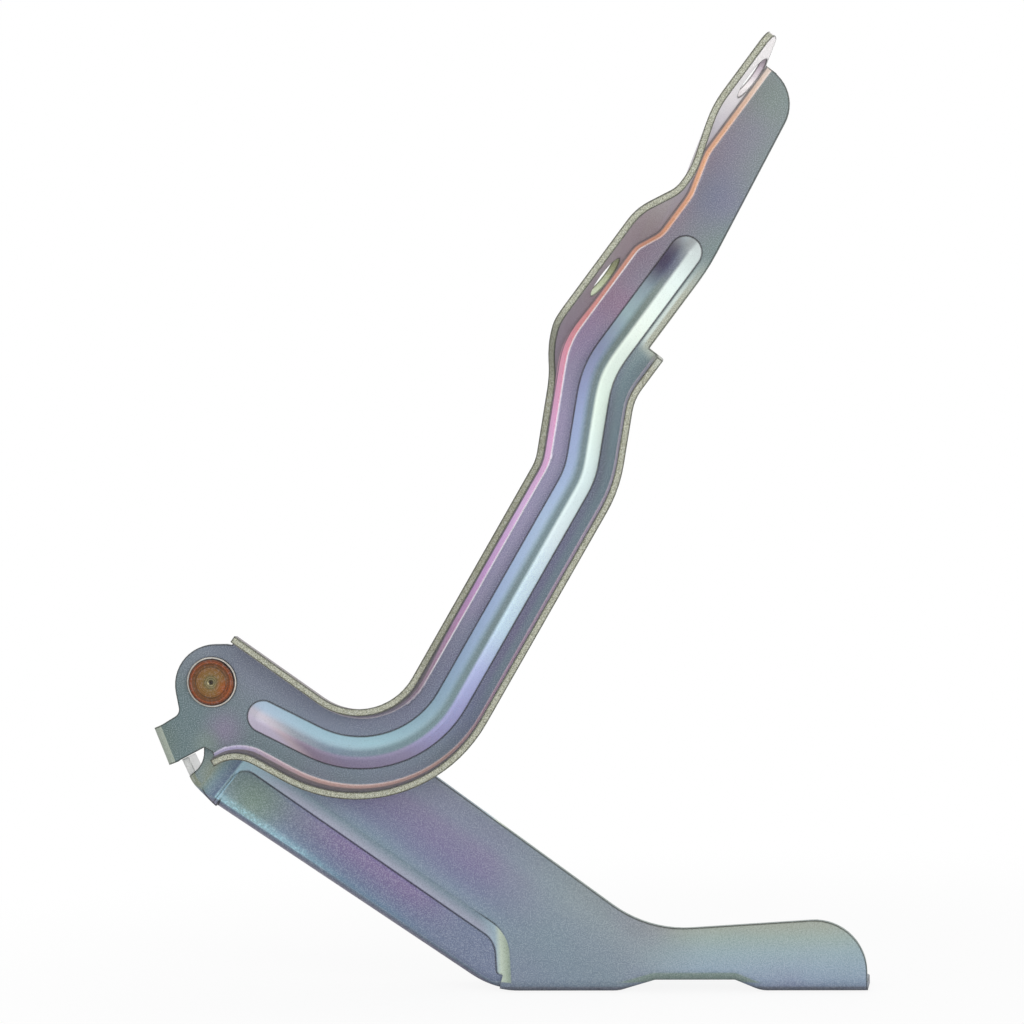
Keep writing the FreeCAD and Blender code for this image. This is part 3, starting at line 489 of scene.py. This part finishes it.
# The bores of the two bonnet holes, each painted light low down as highlight and dark towards
# its top as shade, and the lip of the stop tab
HOLE_AXIS = (-0.7837, 0.1045, 0.6123)
NEAR_HOLE = (143.93, 15.13, 140.34)
FAR_HOLE = (195.95, 15.13, 206.93)
BORE_OUTSIDE, BORE_INSIDE = 8.2, 8.08
TAB_LIP = (111.0, 23.2)
for hole, stops in (
        (NEAR_HOLE, ((132, "e2ecd2"), (137, "b4bc98"), (142, "969970"), (149, "6f6d50"))),
        (FAR_HOLE, ((198, "cfc8c8"), (204, "f4eeee"), (210, "c9b9c4"), (215, "5a4a52")))):
    in_bore = arm.axis_distance(HOLE_AXIS, *hole).rise(BORE_OUTSIDE, BORE_INSIDE)
    skin = arm.over(in_bore, skin, arm.bands(arm.z, *stops))
tab_lip = arm.left(*TAB_LIP).rise(-0.15, 0.15) * (1.0 - arm.x.rise(-12.0, -11.0))
skin = arm.over(tab_lip, skin, tint("a2ac9e"))
arm.plate(skin, arm.noise(2.6, 2.0, 0.6), sparkle=(1.0 - on_bead * 0.5) * 0.24,
          metallic=arm.pick(on_bead.most(off_web), 0.35, 0.0))

# The bracket: a second pressing of the same sheet. A long panel is set back in
# its web, and the foot's flange is joggled to stand on two landings. Its film
# is mauve in the middle, olive by the notch and gold along the foot's top.
WEB_PROUD = -3.5
PANEL_HEADING = -35.2
PANEL_FOOT = -20.1
PANEL_TOE = (50.0, -26.3)
KEEL_HEADING = 145.9
KEEL_OFFSET = 38.1

bracket = PartFinish("bracket_passivated_zinc", "body_bracket")
sunk = WEB_PROUD - bracket.proud
across = bracket.left(PANEL_HEADING)
down_panel = bracket.along(PANEL_HEADING)
toe_side = bracket.left(*PANEL_TOE)
above_keel = KEEL_OFFSET - bracket.left(KEEL_HEADING)
above_foot = bracket.z + PIVOT.z

web = bracket.bands(
    across, (-38, "71889a"), (-16, "7a929d"), (-12, "7b8ca2"), (-8, "767c9b"), (-2, "7c779a"),
    (4, "817d9b"), (9, "7f869b"), (14, "7b8295"), (20, "83908f"))
lower_web = bracket.bands(
    across, (-20, "7d8b9c"), (-8, "7f8f9c"), (0, "84929e"), (8, "8b989f"), (16, "858f93"),
    (20, "8a8d8a"))
web = bracket.over(down_panel.rise(112.0, 150.0), web, lower_web)
foot = bracket.bands(
    above_foot, (0, "7f8ba2"), (4, "8a9bb0"), (9, "95a9b8"), (14, "98adb4"), (19, "9cada8"),
    (23, "a1a99d"), (30, "a2a092"))
web = bracket.over(bracket.x.rise(140.0, 175.0), web, foot)
web = bracket.patches(web, (0.0, -33.0, 15.0, "868f7b"), (-4.0, -12.0, 14.0, "7d8f78"))
web = bracket.clouds(web, 0.03, 0.2, "7b95a0", "8a80a0")

# The panel: its floor, with a glint along the keel
floor_toe = bracket.bands(
    across, (-37, "82a9bd"), (-34.5, "8bb0c2"), (-32, "7e96a8"), (-29, "778a97"),
    (-26, "74878e"), (-22, "7c9199"), (-20, "7c8ea4"))
floor_heel = bracket.bands(
    across, (-37, "678a9c"), (-34, "6c8aa2"), (-31, "6f7d9a"), (-28, "747698"),
    (-25, "7b7298"), (-22, "84769c"), (-20, "7a6f9c"))
panel = bracket.over(down_panel.rise(28.0, 75.0), floor_toe, floor_heel)
panel = bracket.patches(panel, (12.0, -43.0, 17.0, "7a9085"))
panel = bracket.over(down_panel.rise(96.0, 125.0), panel, tint("75809a"))
glint = bracket.noise(1.1, 1.0).rise(0.48, 0.66)
panel = bracket.over(
    across.line(-35.2, 1.2, 3.0) * down_panel.line(30.0, 22.0, 30.0) * (0.3 + glint * 0.45),
    panel, tint("b8e8f4"))

# The slopes that lead down to the floor: along its top, at its heel and its toe, painted pale
# and bright where lit as highlight, and dark slate-blue at the toe as shade
slope = bracket.bands(
    across, (PANEL_FOOT, "bcc0d2"), (-18.2, "b0b6c8"), (-16.2, "96a6b6"), (-14.4, "7c93a0"))
slope = bracket.over(down_panel.rise(46.0, 22.0), slope, tint("abcfdb"))
heel_slope = bracket.bands(
    bracket.x, (98.2, "b4ccd8"), (100.2, "d8e6d2"), (102.4, "b6c6b0"), (104.5, "84968f"))
slope = bracket.over(bracket.x.rise(92.0, 99.5), slope, heel_slope)
toe_slope = bracket.bands(
    toe_side, (0.0, "5f6f88"), (1.2, "677a92"), (2.8, "718798"), (4.2, "77909a"),
    (5.6, "7e9391"), (7.4, "868f7b"))
slope = bracket.over(toe_side.rise(0.2, 1.2) * down_panel.rise(38.0, 24.0), slope, toe_slope)
inside_panel = above_keel.rise(2.3, 2.9) * above_foot.rise(3.0, 3.6)
on_floor = sunk.rise(2.9, 3.2) * inside_panel
skin = bracket.over(sunk.rise(0.05, 0.25) * inside_panel, web, slope)
skin = bracket.over(on_floor, skin, panel)
in_run = down_panel.rise(24.0, 34.0) * down_panel.rise(128.0, 120.0)
# A dark line of painted shade in the crease at the top slope's foot
skin = bracket.over((across - PANEL_FOOT).line(0.0, 0.1, 0.35) * in_run * 0.7,
                    skin, tint("565578"))
# A thin painted highlight where the toe slope meets the floor
skin = bracket.over(toe_side.line(-0.2, 0.15, 0.4) * across.rise(-20.5, -23.0) * 0.7,
                    skin, tint("a8d4ea"))

# Its bends along the keel and under the foot, seen almost edge on, darkened as painted shade,
# and the inner side of the toe, painted near white as highlight
keel = bracket.bands(
    above_keel, (0.0, "8e8a9c"), (0.9, "7d7c90"), (1.6, "6c7286"), (2.6, "6f8698"))
skin = bracket.over(above_keel.rise(2.7, 2.3) * bracket.x.rise(110.0, 104.0), skin, keel)
skin = bracket.over(above_foot.rise(2.2, 1.4), skin, tint("6c7280"))
toe_inside = (sunk.rise(0.6, 1.2) * bracket.x.rise(-4.0, -6.0) * bracket.z.rise(-36.5, -35.0)
              * bracket.normal_x.rise(-0.7, -0.4))
skin = bracket.over(toe_inside, skin, tint("f4f4f2"))

# The panel's rims are pressed, not cut, so no dark line of painted edge shade follows them, and
# little of it lies on the toe's painted highlight
panel_rim = (across.line(-14.4, 1.2, 0.6) * in_run).most(
    toe_side.line(7.4, 1.4, 0.6) * down_panel.rise(32.0, 26.0)).most(
    bracket.x.line(103.0, 3.5, 1.0) * across.rise(-13.0, -16.0))
peel = (bracket.noise(1.1, 2.0, 0.5) - 0.5) * (1.0 - on_floor) * 0.2
bracket.plate(skin, bracket.noise(2.6, 2.0, 0.6) + peel, sparkle=0.22,
              rim_shade=(1.0 - panel_rim.most(toe_inside * 0.8)) * 0.95)

# The rivet: turned steel, passivated amber, set through the bush into the
# bracket. The forming tool leaves fine rings round a small centre dimple.
RING_RADIANS_PER_MM = 9.5
RING_WAVER = 6.0
rivet = PartFinish("rivet_amber_zinc", "pivot_rivet")
radius = rivet.distance(0.0, 0.0)
fleck = rivet.noise(1.3, 3.0, 0.6)
rings = (radius * RING_RADIANS_PER_MM + fleck * RING_WAVER).math("SINE")
# Round the head: the dark centre is painted shade in the dimple, and the dark ring at its edge
# a painted shadow line
skin = rivet.bands(
    radius + (fleck - 0.5) * 1.2, (0.0, "120e0a"), (0.55, "1a140e"), (0.85, "706848"),
    (1.2, "a69c74"), (1.8, "8c8058"), (2.3, "5f5534"), (2.8, "82663a"), (4.5, "7f592d"),
    (6.3, "854e26"), (7.2, "8c401e"), (7.8, "7a321a"), (8.2, "38221a"))
# A painted highlight on the rim's lower right
skin = rivet.patches(skin, (5.5, -2.5, 5.0, "a04c1c"))
skin = rivet.over(rings.rise(0.0, 1.0) * 0.2, skin, tint("a98c50"))
skin = rivet.over(rings.rise(0.0, -1.0) * 0.22, skin, tint("4a2e1c"))
rivet.plate(skin, fleck, sparkle=0.1, rim_shade=0.75, metallic=0.5, roughness=0.42)

# The bush: a flanged sleeve of sintered bronze, grey-gold and slightly porous,
# pressed into the arm's eye.
bush = PartFinish("bush_sintered_bronze", "pivot_bush")
pores = bush.noise(2.6, 3.0, 0.6)
bush.plate(bush.bands(pores, (0.35, "6f5a38"), (0.55, "c2a26a"), (0.8, "d8bd88")),
           pores, sparkle=0.1, rim_shade=0.4, metallic=0.7, roughness=0.5)

# The washer: a thin ring of pale plastic between the arm and the rivet's head,
# with painted shade in the corners that it makes with both.
INNER_SHADE = (8.50, 8.32)
OUTER_SHADE = (8.84, 8.98)
washer = PartFinish("washer_cream", "support_washer")
mottle = washer.noise(0.7, 3.0)
radius = washer.distance(0.0, 0.0)
skin = washer.bands(mottle, (0.3, "e0dad0"), (0.6, "f0ece4"), (0.9, "faf7f2"))
skin = washer.over(radius.rise(*INNER_SHADE), skin, tint("2c241e"))
skin = washer.over(radius.rise(*OUTER_SHADE), skin, tint("4a4c4c"))
washer.plate(skin, mottle, sparkle=0.05, rim_shade=0.5, metallic=0.0, roughness=0.55)
